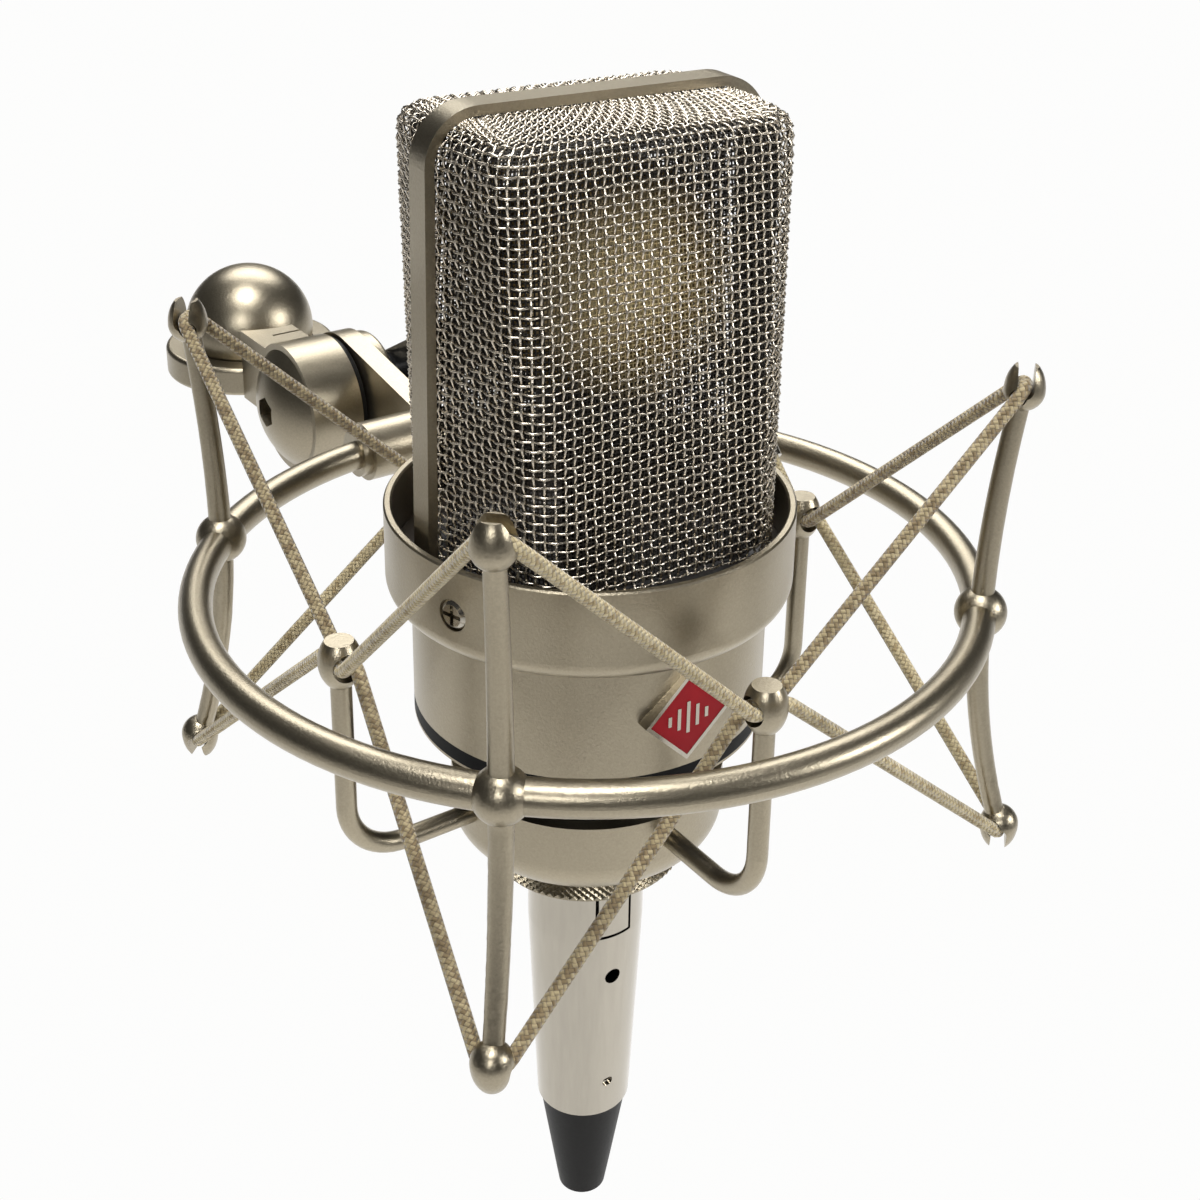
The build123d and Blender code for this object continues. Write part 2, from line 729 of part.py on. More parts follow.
def make_swivel():
    dish = Pos(0, 0, knob_z) * Sphere(knob_radius + body_gap)
    dish = dish & disc(2 * collar_radius, knob_cut_z - body_gap, 4 * knob_radius)
    collar = disc(collar_radius, collar_base_z, collar_top_z)
    rims = collar.edges().group_by(Axis.Z)
    collar = fillet(rims[0] + rims[-1], 0.8)
    collar = collar - dish - disc(sleeve_radius + running_gap, -1, collar_top_z + 1)
    add("swivel_collar", collar)

    pivot_y = -pivot_out
    width = lug_right - lug_left
    middle_x = (lug_left + lug_right) / 2
    back = -12.0
    block_y = (pivot_y + back) / 2
    block = Pos(middle_x, block_y, (lug_top_z + lug_foot_z) / 2) * Box(
        width, back - pivot_y, lug_top_z - lug_foot_z)
    lug = block + bar_x(lug_radius, lug_left, lug_right, pivot_y, pivot_z)
    lug = lug - disc(collar_radius, -20, 40)
    lug = lug - bar_x(pivot_radius, lug_left - 1, lug_right + 1, pivot_y, pivot_z)
    slit_y = -19.5
    slit = Pos(middle_x + 2.0, slit_y, lug_top_z) * Box(5.5, 0.6, 3.0)
    add("swivel_lug", lug - slit)

    cap_radius = (dome_radius**2 + dome_height**2) / (2 * dome_height)
    dome = Pos(lug_left - dome_height + cap_radius, pivot_y, pivot_z) * Sphere(cap_radius)
    dome = dome & bar_x(dome_radius, lug_left - 2 * dome_height, lug_left, pivot_y, pivot_z)
    hexagon = Plane(origin=(lug_left - dome_height - 1, pivot_y, pivot_z), z_dir=(1, 0, 0))
    key = extrude(hexagon * RegularPolygon(hex_flats / math.sqrt(3), 6), amount=4.0)
    washer_left = lug_right
    arm_left = washer_left + washer_thickness + body_gap
    arm_right = arm_left + arm_plate
    disc_left = arm_right
    disc_right = disc_left + disc_thickness
    hub_left = disc_right + body_gap
    shank_end = hub_left + lever_hub_length - 3.0
    shank = bar_x(pivot_radius, lug_left - 0.5, shank_end, pivot_y, pivot_z)
    add("pivot_bolt", dome - key + shank)
    washer = bar_x(lug_radius - 0.6, washer_left, washer_left + washer_thickness,
                   pivot_y, pivot_z)
    washer = washer - bar_x(pivot_radius, washer_left - 1, arm_left, pivot_y, pivot_z)
    add("friction_washer", washer)
    clamp = bar_x(lug_radius - 0.8, disc_left, disc_right, pivot_y, pivot_z)
    clamp = fillet(clamp.edges().filter_by(GeomType.CIRCLE).group_by(Axis.X)[-1], 1.0)
    clamp = clamp - bar_x(pivot_radius + running_gap, disc_left - 1, disc_right + 1,
                          pivot_y, pivot_z)
    add("clamp_disc", clamp)
    make_tilt_arm(arm_left, arm_right)
    make_lever(hub_left, shank_end)


def make_tilt_arm(left, right):
    """A flat plate from the pivot to the ring's boss, round at both ends."""
    pivot_y, ring_y = -pivot_out, ring_radius - reach
    plane = Plane(origin=(left, 0, 0), x_dir=(0, 1, 0), z_dir=(1, 0, 0))
    big = Pos(pivot_y, pivot_z) * Circle(lug_radius)
    small = Pos(ring_y, ring_height) * Circle(arm_tip_radius)
    outline = make_hull(big.edges() + small.edges())
    plate = extrude(plane * outline, amount=right - left)
    bore = bar_x(pivot_radius + running_gap, left - 1, right + 1, pivot_y, pivot_z)
    seat = at_ring * bar_x(boss_tube, -boss_half, boss_half, ring_radius, 0)
    add("tilt_arm", plate - bore - seat)


def make_lever(left, shank_end):
    """A clamping lever: a round hub on the bolt's end and a flat handle."""
    pivot_y = -pivot_out
    right = left + lever_hub_length
    hub = bar_x(lever_hub_radius, left, right, pivot_y, pivot_z)
    plane = Plane(origin=(right - lever_thickness, 0, 0), x_dir=(0, -1, 0), z_dir=(-1, 0, 0))
    lift = math.radians(lever_lift)
    tip = (pivot_out + lever_length * math.cos(lift), pivot_z + lever_length * math.sin(lift))
    root = Pos(pivot_out, pivot_z) * Circle(lever_hub_radius)
    end = Pos(*tip) * Circle(lever_width / 2)
    outline = make_hull(root.edges() + end.edges())
    blade = extrude(plane * outline, amount=-lever_thickness)
    lever = hub + blade
    lever = lever - bar_x(pivot_radius + running_gap, left - 1, shank_end + body_gap,
                          pivot_y, pivot_z)
    add("lever_handle", lever)


# ---------------------------------------------------------------- build and write
make_cage()
make_loops()
make_cradle()
make_band()
make_grilles()
top_of_floor = make_head_ring()
make_capsule(top_of_floor)
make_body()
make_nut()
make_plug()
make_stand_fixing()
make_swivel()

os.makedirs("parts", exist_ok=True)
for name, shape in parts.items():
    export_step(shape, f"parts/{name}.step")
print(len(parts), "nodes")
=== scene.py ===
import json
import math
import bmesh
import bpy
import numpy as np
from mathutils import Matrix, Vector


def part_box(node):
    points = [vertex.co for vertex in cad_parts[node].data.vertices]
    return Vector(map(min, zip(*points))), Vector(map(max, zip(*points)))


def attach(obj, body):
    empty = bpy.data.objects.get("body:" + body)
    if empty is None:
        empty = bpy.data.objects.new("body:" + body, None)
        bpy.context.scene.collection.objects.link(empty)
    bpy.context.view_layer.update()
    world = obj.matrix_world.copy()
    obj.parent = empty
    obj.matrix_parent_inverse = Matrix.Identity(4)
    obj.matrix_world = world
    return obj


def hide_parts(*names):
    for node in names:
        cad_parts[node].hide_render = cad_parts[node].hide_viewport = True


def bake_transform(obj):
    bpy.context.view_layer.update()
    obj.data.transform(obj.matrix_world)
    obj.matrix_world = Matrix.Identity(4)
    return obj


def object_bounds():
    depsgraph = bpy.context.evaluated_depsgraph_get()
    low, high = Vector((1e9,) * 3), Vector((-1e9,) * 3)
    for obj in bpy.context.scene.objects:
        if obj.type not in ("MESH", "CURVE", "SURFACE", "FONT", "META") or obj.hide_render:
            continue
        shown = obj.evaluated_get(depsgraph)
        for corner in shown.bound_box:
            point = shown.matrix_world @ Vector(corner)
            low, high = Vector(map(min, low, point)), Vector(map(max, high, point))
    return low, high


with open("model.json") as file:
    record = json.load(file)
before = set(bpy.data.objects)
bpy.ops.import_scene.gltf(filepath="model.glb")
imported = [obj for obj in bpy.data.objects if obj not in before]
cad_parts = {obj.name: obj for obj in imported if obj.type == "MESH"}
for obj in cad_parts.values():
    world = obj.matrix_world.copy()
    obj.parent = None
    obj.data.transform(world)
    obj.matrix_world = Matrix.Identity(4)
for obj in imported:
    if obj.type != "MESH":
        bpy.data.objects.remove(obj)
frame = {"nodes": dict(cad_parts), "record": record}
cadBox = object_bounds()
nodes = frame["nodes"]
mm = 0.001


def boxMiddle(name):
    low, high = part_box(name)
    return (Vector(low) + Vector(high)) / 2


ringMiddle = boxMiddle("outer_ring")  # the microphone's axis crosses the ring's plane here
facing = math.radians(-4.2)  # the microphone is turned a little in its cradle
micPlace = Matrix.Translation(ringMiddle) @ Matrix.Rotation(facing, 4, "Z")
ringPlace = Matrix.Translation(ringMiddle)


# material helpers
def newMaterial(name, color, metallic=0.0, roughness=0.5):
    mat = bpy.data.materials.new(name)
    mat.use_nodes = True
    tree = mat.node_tree
    shader = tree.nodes["Principled BSDF"]
    shader.inputs["Base Color"].default_value = (*color, 1)
    shader.inputs["Metallic"].default_value = metallic
    shader.inputs["Roughness"].default_value = roughness
    return mat, tree, shader


def addNode(tree, kind, **values):
    node = tree.nodes.new(kind)
    for key, value in values.items():
        if hasattr(node, key):
            setattr(node, key, value)
        else:
            node.inputs[key].default_value = value
    return node


def objectCoords(tree, stretch=(1, 1, 1)):
    coords = addNode(tree, "ShaderNodeTexCoord")
    mapping = addNode(tree, "ShaderNodeMapping")
    mapping.inputs["Scale"].default_value = stretch
    tree.links.new(coords.outputs["Object"], mapping.inputs["Vector"])
    return mapping.outputs["Vector"]


def noiseOf(tree, vector, scale, detail=3.0, roughness=0.5):
    noise = addNode(tree, "ShaderNodeTexNoise")
    noise.inputs["Scale"].default_value = scale
    noise.inputs["Detail"].default_value = detail
    noise.inputs["Roughness"].default_value = roughness
    tree.links.new(vector, noise.inputs["Vector"])
    return noise.outputs["Fac"]


def rampOf(tree, value, stops):
    ramp = addNode(tree, "ShaderNodeValToRGB")
    elements = ramp.color_ramp.elements
    while len(elements) < len(stops):
        elements.new(0.5)
    for element, (place, color) in zip(elements, stops):
        element.position = place
        element.color = (*color, 1) if len(color) == 3 else color
    tree.links.new(value, ramp.inputs["Fac"])
    return ramp.outputs["Color"]


def rangeOf(tree, value, low, high):
    span = addNode(tree, "ShaderNodeMapRange")
    span.inputs["To Min"].default_value = low
    span.inputs["To Max"].default_value = high
    tree.links.new(value, span.inputs["Value"])
    return span.outputs["Result"]


def bumpFrom(tree, shader, value, strength, distance):
    bump = addNode(tree, "ShaderNodeBump")
    bump.inputs["Strength"].default_value = strength
    bump.inputs["Distance"].default_value = distance
    tree.links.new(value, bump.inputs["Height"])
    tree.links.new(bump.outputs["Normal"], shader.inputs["Normal"])


# a finish with a broad change of tone, a fine grain in its colour and gloss, and a little relief
def grainedFinish(name, look):
    mat, tree, shader = newMaterial(name, look["color"], look.get("metallic", 0.0), look["roughness"][0])
    vector = objectCoords(tree, look.get("stretch", (1, 1, 1)))
    broad = noiseOf(tree, vector, look.get("broadScale", 35.0), 2.0)
    fine = noiseOf(tree, vector, look["grainScale"], 4.0, 0.6)
    mixed = addNode(tree, "ShaderNodeMath", operation="MULTIPLY_ADD")
    mixed.inputs[1].default_value = 0.5
    tree.links.new(broad, mixed.inputs[0])
    half = addNode(tree, "ShaderNodeMath", operation="MULTIPLY")
    half.inputs[1].default_value = 0.5
    tree.links.new(fine, half.inputs[0])
    tree.links.new(half.outputs[0], mixed.inputs[2])
    dark = [c * look.get("darker", 0.88) for c in look["color"]]
    light = [min(1.0, c * look.get("lighter", 1.08)) for c in look["color"]]
    tree.links.new(rampOf(tree, mixed.outputs[0], [(0.3, dark), (0.7, light)]), shader.inputs["Base Color"])
    tree.links.new(rangeOf(tree, fine, *look["roughness"]), shader.inputs["Roughness"])
    bumpFrom(tree, shader, fine, look["relief"], look["reliefDepth"])
    if "coat" in look:
        shader.inputs["Coat Weight"].default_value = look["coat"]
        shader.inputs["Coat Roughness"].default_value = 0.08
    if "specular" in look:
        shader.inputs["Specular IOR Level"].default_value = look["specular"]
    return mat


finishes = {
    "satinNickel": {"color": (0.34, 0.298, 0.22), "metallic": 1.0, "roughness": (0.28, 0.38), "grainScale": 2600.0,
                    "broadScale": 28.0, "darker": 0.8, "lighter": 1.12, "relief": 0.45, "reliefDepth": 0.0001},
    "turnedSteel": {"color": (0.4, 0.37, 0.315), "metallic": 1.0, "roughness": (0.14, 0.26), "grainScale": 900.0,
                    "stretch": (1, 1, 0.12), "relief": 0.12, "reliefDepth": 0.00004},
    "brightWire": {"color": (0.76, 0.69, 0.58), "metallic": 1.0, "roughness": (0.2, 0.34), "grainScale": 1800.0,
                   "darker": 0.6, "relief": 0.2, "reliefDepth": 0.00004},
    "fineWire": {"color": (0.05, 0.045, 0.038), "metallic": 0.5, "roughness": (0.35, 0.55), "grainScale": 1500.0,
                 "darker": 0.5, "relief": 0.1, "reliefDepth": 0.00002},
    "blackRubber": {"color": (0.005, 0.0045, 0.004), "roughness": (0.42, 0.55), "grainScale": 1500.0,
                    "relief": 0.2, "reliefDepth": 0.00005, "specular": 0.15},
    "glossBlack": {"color": (0.012, 0.012, 0.012), "roughness": (0.12, 0.2), "grainScale": 700.0,
                   "relief": 0.05, "reliefDepth": 0.00003, "coat": 0.6},
    "blackAnodised": {"color": (0.02, 0.019, 0.018), "metallic": 0.6, "roughness": (0.35, 0.5), "grainScale": 2000.0,
                      "relief": 0.2, "reliefDepth": 0.00005},
    "blackLabel": {"color": (0.004, 0.004, 0.004), "roughness": (0.45, 0.6), "grainScale": 1300.0,
                   "relief": 0.08, "reliefDepth": 0.00003, "specular": 0.1},
    "brass": {"color": (0.3, 0.22, 0.1), "metallic": 1.0, "roughness": (0.25, 0.4), "grainScale": 1200.0,
              "relief": 0.15, "reliefDepth": 0.00004},
    "goldFilm": {"color": (1.0, 0.80, 0.42), "metallic": 0.3, "roughness": (0.28, 0.4), "grainScale": 500.0,
                 "relief": 0.1, "reliefDepth": 0.00005},
    "circuitGreen": {"color": (0.03, 0.14, 0.07), "roughness": (0.3, 0.45), "grainScale": 900.0,
                     "relief": 0.2, "reliefDepth": 0.00006, "coat": 0.3},
    "componentGrey": {"color": (0.09, 0.09, 0.10), "roughness": (0.3, 0.45), "grainScale": 900.0,
                      "relief": 0.15, "reliefDepth": 0.00004},
    "blackInsulator": {"color": (0.02, 0.014, 0.009), "roughness": (0.25, 0.4), "grainScale": 1100.0,
                       "relief": 0.2, "reliefDepth": 0.00005},
    "redEnamel": {"color": (0.3, 0.003, 0.009), "roughness": (0.3, 0.4), "grainScale": 600.0,
                  "broadScale": 120.0, "relief": 0.06, "reliefDepth": 0.00003, "specular": 0.15},
}
made = {name: grainedFinish(name, look) for name, look in finishes.items()}

# a tone that changes with the distance from the capsule's axis, painted light: a painted highlight makes the film
# brightest at its middle, and a painted pale-gold glow on the gauze in front of it stands in for the film's light seen
# through it
paintedGlow = {"height": 47.5, "reach": 16.0, "aside": -2.5, "rise": 2.0}


def paintedGlowFinish(name, aside, rise, stops):
    mat = grainedFinish(name, finishes[name])
    tree = mat.node_tree
    coords = addNode(tree, "ShaderNodeTexCoord")
    axis = addNode(tree, "ShaderNodeMapping", vector_type="TEXTURE")
    axis.inputs["Location"].default_value = micPlace @ Vector((aside * mm, 0, (paintedGlow["height"] + rise) * mm))
    axis.inputs["Rotation"].default_value = (0, 0, facing)
    axis.inputs["Scale"].default_value = (1, 1000, 1)
    tree.links.new(coords.outputs["Object"], axis.inputs["Vector"])
    apart = addNode(tree, "ShaderNodeVectorMath", operation="LENGTH")
    tree.links.new(axis.outputs["Vector"], apart.inputs[0])
    span = addNode(tree, "ShaderNodeMapRange")
    span.inputs["From Max"].default_value = paintedGlow["reach"] * mm
    tree.links.new(apart.outputs["Value"], span.inputs["Value"])
    # painted light: a ramp of colours by distance from the axis replaces the base colour
    tone = rampOf(tree, span.outputs["Result"], stops)
    tree.links.new(tone, tree.nodes["Principled BSDF"].inputs["Base Color"])
    return mat


# painted highlight on the film: pale gold at the middle, darker towards its rim
made["goldFilm"] = paintedGlowFinish("goldFilm", 0, 0, [(0.3, (1.0, 0.88, 0.58)), (0.6, (0.8, 0.62, 0.34)), (1.0, (0.3, 0.22, 0.12))])
# painted glow on the gauze: pale gold near the capsule's axis, set a little aside and up, dark further out
made["fineWire"] = paintedGlowFinish("fineWire", paintedGlow["aside"], paintedGlow["rise"],
                              [(0.15, (0.85, 0.72, 0.42)), (0.5, (0.6, 0.48, 0.26)), (0.95, (0.045, 0.04, 0.033))])


finishOfSlot = {
    "satin_nickel": "satinNickel", "plain_steel": "turnedSteel", "wire_mesh": "brightWire", "fine_gauze": "fineWire",
    "black_label": "blackLabel", "red_enamel": "redEnamel", "black_rubber": "blackRubber", "gloss_black": "glossBlack",
    "black_anodised": "blackAnodised", "brass": "brass", "gold_film": "goldFilm", "circuit_green": "circuitGreen",
    "component_grey": "componentGrey", "black_insulator": "blackInsulator",
}
slotOfNode = {part["node"]: part["material_slot"] for part in frame["record"]["subparts"]}
for name, node in nodes.items():
    finish = finishOfSlot.get(slotOfNode[name])
    if finish:
        for slot in node.material_slots:
            slot.material = made[finish]
print("finishes ready:", len(made))


# braided textile for the elastic loops: u runs round the cord, v along it
def braidFinish(name, look):
    mat, tree, shader = newMaterial(name, look["pale"], 0.0, look["roughness"])
    links = tree.links
    uv = addNode(tree, "ShaderNodeUVMap", uv_map="braid")
    split = addNode(tree, "ShaderNodeSeparateXYZ")
    links.new(uv.outputs["UV"], split.inputs[0])

    def mathNode(operation, a, b=None, c=None):
        node = addNode(tree, "ShaderNodeMath", operation=operation)
        for place, value in enumerate((a, b, c)):
            if value is None:
                continue
            if isinstance(value, (int, float)):
                node.inputs[place].default_value = value
            else:
                links.new(value, node.inputs[place])
        return node.outputs[0]

    around = mathNode("MULTIPLY", split.outputs["X"], look["strands"])
    along = mathNode("MULTIPLY", split.outputs["Y"], look["picks"])
    left = mathNode("ADD", around, along)
    right = mathNode("SUBTRACT", around, along)
    crossing = addNode(tree, "ShaderNodeCombineXYZ")
    links.new(left, crossing.inputs[0])
    links.new(right, crossing.inputs[1])
    checker = addNode(tree, "ShaderNodeTexChecker")
    checker.inputs["Scale"].default_value = 1.0
    links.new(crossing.outputs[0], checker.inputs["Vector"])
    bulgeLeft = mathNode("ABSOLUTE", mathNode("SINE", mathNode("MULTIPLY", left, math.pi)))
    bulgeRight = mathNode("ABSOLUTE", mathNode("SINE", mathNode("MULTIPLY", right, math.pi)))
    pick = addNode(tree, "ShaderNodeMix", data_type="FLOAT")
    links.new(checker.outputs["Fac"], pick.inputs["Factor"])
    links.new(bulgeLeft, pick.inputs["A"])
    links.new(bulgeRight, pick.inputs["B"])
    cell = addNode(tree, "ShaderNodeVectorMath", operation="FLOOR")
    links.new(crossing.outputs[0], cell.inputs[0])
    random = addNode(tree, "ShaderNodeTexWhiteNoise", noise_dimensions="2D")
    links.new(cell.outputs[0], random.inputs["Vector"])
    yarn = rampOf(tree, random.outputs["Value"], [(0.0, look["fleck"]), (look["fleckShare"], look["fleck"]),
                                                  (look["fleckShare"] + 0.08, look["pale"]), (1.0, look["light"])])
    shade = addNode(tree, "ShaderNodeMix", data_type="RGBA", blend_type="MULTIPLY")
    shade.inputs["Factor"].default_value = look["gapShade"]
    links.new(yarn, shade.inputs["A"])
    links.new(rampOf(tree, pick.outputs["Result"], [(0.0, (0.25, 0.2, 0.15)), (0.55, (1, 1, 1))]), shade.inputs["B"])
    links.new(shade.outputs["Result"], shader.inputs["Base Color"])
    shader.inputs["Sheen Weight"].default_value = 0.35
    shader.inputs["Sheen Roughness"].default_value = 0.5
    bumpFrom(tree, shader, pick.outputs["Result"], 0.9, 0.00018)
    return mat


braids = {
    "paleBraid": {"pale": (0.44, 0.36, 0.2), "light": (0.56, 0.47, 0.28), "fleck": (0.34, 0.26, 0.13), "fleckShare": 0.12,
                  "gapShade": 0.8, "strands": 6.0, "picks": 1.0, "roughness": 0.75},
    "brownBraid": {"pale": (0.33, 0.26, 0.14), "light": (0.43, 0.35, 0.2), "fleck": (0.22, 0.16, 0.08), "fleckShare": 0.3,
                   "gapShade": 0.85, "strands": 6.0, "picks": 1.0, "roughness": 0.8},
}
for name, look in braids.items():
    made[name] = braidFinish(name, look)


# mesh helpers
def meshObject(name, points, faces, mat, place=None, smooth=True):
    mesh = bpy.data.meshes.new(name)
    mesh.from_pydata([tuple(p) for p in points], [], faces)
    if place is not None:
        mesh.transform(place)
    mesh.materials.append(mat)
    if smooth:
        mesh.shade_smooth()
    mesh.update()
    piece = bpy.data.objects.new(name, mesh)
    bpy.context.scene.collection.objects.link(piece)
    return piece


# bakes a Geometry Nodes result into a plain mesh and drops the source
def bakeTree(source, tree, values, name):
    modifier = source.modifiers.new("build", "NODES")
    modifier.node_group = tree
    for socket in tree.interface.items_tree:
        if socket.item_type == "SOCKET" and socket.in_out == "INPUT" and socket.name in values:
            modifier[socket.identifier] = values[socket.name]
    bpy.context.view_layer.update()
    graph = bpy.context.evaluated_depsgraph_get()
    mesh = bpy.data.meshes.new_from_object(source.evaluated_get(graph))
    piece = bpy.data.objects.new(name, mesh)
    bpy.context.scene.collection.objects.link(piece)
    bpy.data.objects.remove(source)
    return piece


# a tree that turns paths into woven round wire: each point is pushed out or in by its own lift
def wireTree(name, mat):
    tree = bpy.data.node_groups.new(name, "GeometryNodeTree")
    face = tree.interface
    face.new_socket("Geometry", in_out="INPUT", socket_type="NodeSocketGeometry")
    for label, kind, value in (("wireRadius", "NodeSocketFloat", 0.0002), ("crimp", "NodeSocketFloat", 0.0002),
                               ("wobble", "NodeSocketFloat", 0.0), ("wobbleScale", "NodeSocketFloat", 200.0),
                               ("sides", "NodeSocketInt", 6), ("seed", "NodeSocketFloat", 1.0)):
        socket = face.new_socket(label, in_out="INPUT", socket_type=kind)
        socket.default_value = value
    face.new_socket("Geometry", in_out="OUTPUT", socket_type="NodeSocketGeometry")
    link = tree.links.new
    start = tree.nodes.new("NodeGroupInput")
    end = tree.nodes.new("NodeGroupOutput")
    outward = addNode(tree, "GeometryNodeInputNamedAttribute", data_type="FLOAT_VECTOR")
    outward.inputs["Name"].default_value = "outward"
    lift = addNode(tree, "GeometryNodeInputNamedAttribute", data_type="FLOAT")
    lift.inputs["Name"].default_value = "lift"
    rise = addNode(tree, "ShaderNodeMath", operation="MULTIPLY")
    link(lift.outputs["Attribute"], rise.inputs[0])
    link(start.outputs["crimp"], rise.inputs[1])
    push = addNode(tree, "ShaderNodeVectorMath", operation="SCALE")
    link(outward.outputs["Attribute"], push.inputs[0])
    link(rise.outputs[0], push.inputs["Scale"])
    noise = addNode(tree, "ShaderNodeTexNoise", noise_dimensions="4D")
    noise.inputs["Detail"].default_value = 1.0
    position = tree.nodes.new("GeometryNodeInputPosition")
    link(position.outputs[0], noise.inputs["Vector"])
    link(start.outputs["seed"], noise.inputs["W"])
    link(start.outputs["wobbleScale"], noise.inputs["Scale"])
    centred = addNode(tree, "ShaderNodeVectorMath", operation="SUBTRACT")
    centred.inputs[1].default_value = (0.5, 0.5, 0.5)
    link(noise.outputs["Color"], centred.inputs[0])
    sway = addNode(tree, "ShaderNodeVectorMath", operation="SCALE")
    link(centred.outputs[0], sway.inputs[0])
    link(start.outputs["wobble"], sway.inputs["Scale"])
    both = addNode(tree, "ShaderNodeVectorMath", operation="ADD")
    link(push.outputs[0], both.inputs[0])
    link(sway.outputs[0], both.inputs[1])
    moved = tree.nodes.new("GeometryNodeSetPosition")
    link(start.outputs["Geometry"], moved.inputs["Geometry"])
    link(both.outputs[0], moved.inputs["Offset"])
    curve = tree.nodes.new("GeometryNodeMeshToCurve")
    link(moved.outputs[0], curve.inputs["Mesh"])
    circle = addNode(tree, "GeometryNodeCurvePrimitiveCircle", mode="RADIUS")
    link(start.outputs["sides"], circle.inputs["Resolution"])
    link(start.outputs["wireRadius"], circle.inputs["Radius"])
    skin = tree.nodes.new("GeometryNodeCurveToMesh")
    skin.inputs["Fill Caps"].default_value = True
    link(curve.outputs[0], skin.inputs["Curve"])
    link(circle.outputs[0], skin.inputs["Profile Curve"])
    smooth = tree.nodes.new("GeometryNodeSetShadeSmooth")
    link(skin.outputs[0], smooth.inputs["Geometry"])
    real = tree.nodes.new("GeometryNodeRealizeInstances")
    link(smooth.outputs[0], real.inputs[0])
    paint = tree.nodes.new("GeometryNodeSetMaterial")
    paint.inputs["Material"].default_value = mat
    link(real.outputs[0], paint.inputs["Geometry"])
    link(paint.outputs[0], end.inputs[0])
    return tree


def pathObject(name, paths, place):
    points, edges, outward, lift = [], [], [], []
    for path in paths:
        first = len(points)
        for point, out, up in path:
            points.append(point)
            outward.append(out)
            lift.append(up)
        edges += [(first + k, first + k + 1) for k in range(len(path) - 1)]
    mesh = bpy.data.meshes.new(name)
    mesh.from_pydata([tuple(p) for p in points], edges, [])
    mesh.transform(place)
    turn = np.array(place.to_3x3())
    mesh.attributes.new("outward", "FLOAT_VECTOR", "POINT")
    mesh.attributes.new("lift", "FLOAT", "POINT")
    mesh.attributes["outward"].data.foreach_set("vector", (np.array(outward) @ turn.T).ravel())
    mesh.attributes["lift"].data.foreach_set("value", np.array(lift, dtype=float))
    source = bpy.data.objects.new(name, mesh)
    bpy.context.scene.collection.objects.link(source)
    return source


# the head's woven wire
head = {
    "bandTop": 73.1, "halfTop": 26.4, "halfFoot": 27.2, "bandWidth": 4.7, "bandThickness": 1.4, "bandCorner": 8.0,
    "foot": 9.2, "depthFoot": 22.0, "depthBend": 15.8, "bendHeight": 70.7, "bendRound": 3.0,
    "cornerLow": (18.5, 9.0), "cornerHigh": (23.5, 5.0),  # where the front turns into the sides, and how round
    "pitchRound": 1.44, "pitchUp": 1.29, "wireRadius": 0.19, "crimp": 0.27, "wobble": 0.2, "wobbleScale": 170.0, "seed": 3.0,
    "gauzeInset": 1.75, "gauzePitch": 0.62, "gauzeRadius": 0.155,
}


# the front half's side profile as (depth, height) pairs, rounded at the bend
def headProfile(inset):
    top = head["bandTop"] - head["bandThickness"] - inset
    foot = np.array([head["depthFoot"] - inset, head["foot"]])
    bend = np.array([head["depthBend"] - inset, head["bendHeight"] - inset])
    crown = np.array([head["bandWidth"] / 2, top])
    down = (foot - bend) / np.linalg.norm(foot - bend)
    back = (crown - bend) / np.linalg.norm(crown - bend)
    cut = head["bendRound"]
    turned = [(1 - t) ** 2 * (bend + down * cut) + 2 * t * (1 - t) * bend + t * t * (bend + back * cut)
              for t in np.linspace(0, 1, 9)]
    return resample(np.array([foot] + turned + [crown]))


def resample(points, step=0.1):
    steps = np.linalg.norm(np.diff(points, axis=0), axis=1)
    length = np.concatenate([[0], np.cumsum(steps)])
    even = np.linspace(0, length[-1], max(2, int(length[-1] / step)))
    return np.stack([np.interp(even, length, points[:, k]) for k in range(points.shape[1])], 1), length[-1]


# one level curve of the front half, from its left edge to its right edge
def levelCurve(depth, height, inset):
    share = (height - head["foot"]) / (head["bandTop"] - head["foot"])
    edge = head["bandThickness"] + inset
    shoulder = head["bandTop"] - head["bandCorner"]
    half = head["halfFoot"] + (head["halfTop"] - head["halfFoot"]) * min(1.0, (height - 4.4) / (shoulder - 4.4)) - edge
    over = height - shoulder
    if over > 0:
        radius = head["bandCorner"] - edge
        half = half - radius + math.sqrt(max(radius ** 2 - min(over, radius * 0.999) ** 2, 0))
    cornerX = head["cornerLow"][0] + (head["cornerHigh"][0] - head["cornerLow"][0]) * share - inset
    fullDepth = head["depthFoot"] + (head["depthBend"] - head["depthFoot"]) * share - inset
    roundness = head["cornerLow"][1] + (head["cornerHigh"][1] - head["cornerLow"][1]) * share - inset
    partY = head["bandWidth"] / 2
    if depth < fullDepth:  # on the roof, where the front edge has moved back
        cornerX = half - (half - cornerX) * max(0.02, (depth - partY) / (fullDepth - partY))
    cornerX = min(cornerX, half - 0.3)
    a, b, c = np.array([-half, partY]), np.array([-cornerX, depth]), np.array([0.0, depth])
    sideWay = (a - b) / np.linalg.norm(a - b)
    frontWay = (c - b) / np.linalg.norm(c - b)
    turn = math.pi - math.acos(float(np.clip(sideWay @ frontWay, -1, 1)))
    reach = max(0.4, roundness) * math.tan(turn / 2)
    reach = min(reach, np.linalg.norm(a - b) * 0.85, np.linalg.norm(c - b) * 0.95)
    curved = [(1 - t) ** 2 * (b + sideWay * reach) + 2 * t * (1 - t) * b + t * t * (b + frontWay * reach)
              for t in np.linspace(0, 1, 13)]
    left = np.array([a] + curved + [c])
    right = left[::-1][1:] * np.array([-1, 1])
    points, length = resample(np.concatenate([left, right]))
    return points, length


